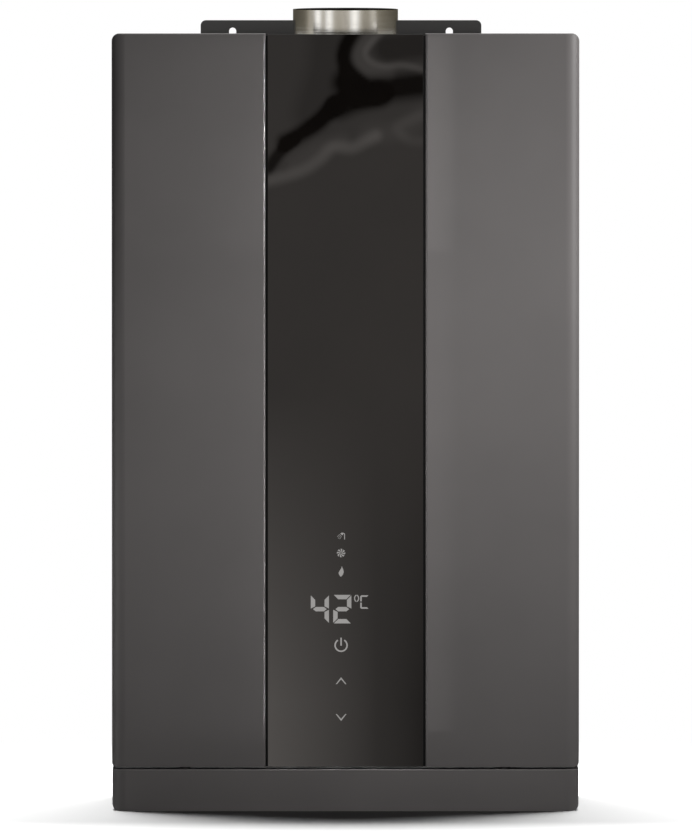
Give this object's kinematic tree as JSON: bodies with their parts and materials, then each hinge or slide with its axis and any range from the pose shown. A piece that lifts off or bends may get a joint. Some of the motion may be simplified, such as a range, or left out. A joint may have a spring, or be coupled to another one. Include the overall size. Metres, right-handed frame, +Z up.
{
  "type": "gas water heater",
  "caption": "Wall-hung tankless gas water heater with a fan-driven flue, a lift-off steel front with a glass display strip, and water and gas stubs underneath.",
  "frame": {"origin": "under the middle of the overall box, on the surface that the lower cover stands on", "axes": "+X to the right seen from the front, +Y towards the wall, +Z up along the flue"},
  "size_m": [0.35, 0.175, 0.5986],
  "materials": {
    "case_paint": "satin graphite paint",
    "smoked_glass": "gloss smoked glass, printed black behind",
    "foam_tape": "matt foam",
    "black_plastic": "fine grain",
    "circuit_board": "solder mask",
    "spring_steel": "zinc plated",
    "lead_rubber": "smooth",
    "bracket_paint": "dark satin",
    "plated_steel": "galvanised sheet",
    "stainless": "brushed round the tube",
    "motor_steel": "dull plated",
    "copper": "dull copper",
    "brass": "turned",
    "cast_alloy": "as cast",
    "ceramic": "glazed",
    "white_plastic": "plain"
  },
  "bodies": {
    "chassis": {"back_plate": "plated_steel", "bottom_plate": "plated_steel", "bracket_rivets": "spring_steel", "burner_bars": "stainless", "burner_box": "plated_steel", "chamber_shell": "copper", "chassis_screws": "spring_steel", "cold_inlet_body": "brass", "cold_pipe": "copper", "control_box": "black_plastic", "control_box_lid": "black_plastic", "cord_gland": "black_plastic", "cover_studs": "bracket_paint", "electrodes": "ceramic", "exhaust_hood": "plated_steel", "fan_housing": "plated_steel", "fan_motor": "motor_steel", "fin_tubes": "copper", "flow_sensor": "black_plastic", "flue_collar": "stainless", "flue_gasket": "foam_tape", "gas_inlet": "brass", "gas_manifold": "cast_alloy", "gas_nozzles": "brass", "gas_pipe": "cast_alloy", "gas_valve_body": "cast_alloy", "heat_exchanger_fins": "copper", "hot_outlet": "brass", "hot_pipe": "copper", "igniter": "black_plastic", "inlet_filter": "stainless", "lower_bracket": "plated_steel", "lower_cover": "case_paint", "main_board": "circuit_board", "pipe_locknuts": "brass", "pressure_hose": "lead_rubber", "pressure_switch": "white_plastic", "stack_brackets": "plated_steel", "top_plate": "plated_steel", "valve_coils": "motor_steel", "wall_bracket": "bracket_paint", "water_sensors": "motor_steel", "wiring": "lead_rubber", "wrap_coil": "copper"},
    "cover": {"front_cover": "case_paint", "glass_panel": "smoked_glass", "glass_tape": "foam_tape", "display_housing": "black_plastic", "display_board": "circuit_board", "touch_springs": "spring_steel", "display_lead": "lead_rubber"},
    "fan": {"fan_impeller": "plated_steel", "fan_shaft": "spring_steel"},
    "flap": {"flue_flap": "stainless"},
    "turbine": {"flow_turbine": "white_plastic"},
    "upper_valve": {"upper_plunger": "motor_steel"},
    "lower_valve": {"lower_plunger": "motor_steel"},
    "proportional_valve": {"proportional_plunger": "motor_steel"},
    "drain": {"drain_plug": "black_plastic"}
  },
  "joints": [
    {"name": "cover_slide", "type": "slide", "parent": "chassis", "child": "cover", "axis": [0, -1, 0], "range_m": [0, 0.22]},
    {"name": "fan_spin", "type": "hinge", "parent": "chassis", "child": "fan", "pos_m": [-0.0485, 0, 0.4892], "axis": [0, 1, 0], "continuous": true},
    {"name": "flap_swing", "type": "hinge", "parent": "chassis", "child": "flap", "pos_m": [0, 0.0215, 0.5482], "axis": [-1, 0, 0], "range_deg": [0, 75]},
    {"name": "turbine_spin", "type": "hinge", "parent": "chassis", "child": "turbine", "pos_m": [0.145, 0.025, 0.096], "axis": [0, 0, 1], "continuous": true},
    {"name": "upper_shutoff", "type": "slide", "parent": "chassis", "child": "upper_valve", "axis": [1, 0, 0], "range_m": [0, 0.004], "stiffness_N_per_m": 250, "springref_m": -0.006},
    {"name": "lower_shutoff", "type": "slide", "parent": "chassis", "child": "lower_valve", "axis": [1, 0, 0], "range_m": [0, 0.004], "stiffness_N_per_m": 250, "springref_m": -0.006},
    {"name": "gas_control", "type": "slide", "parent": "chassis", "child": "proportional_valve", "axis": [-1, 0, 0], "range_m": [0, 0.004], "stiffness_N_per_m": 250, "springref_m": -0.006},
    {"name": "drain_turn", "type": "hinge", "parent": "chassis", "child": "drain", "pos_m": [0.145, -0.006, 0.044], "axis": [0, 0, 1], "range_deg": [0, 90]}
  ]
}
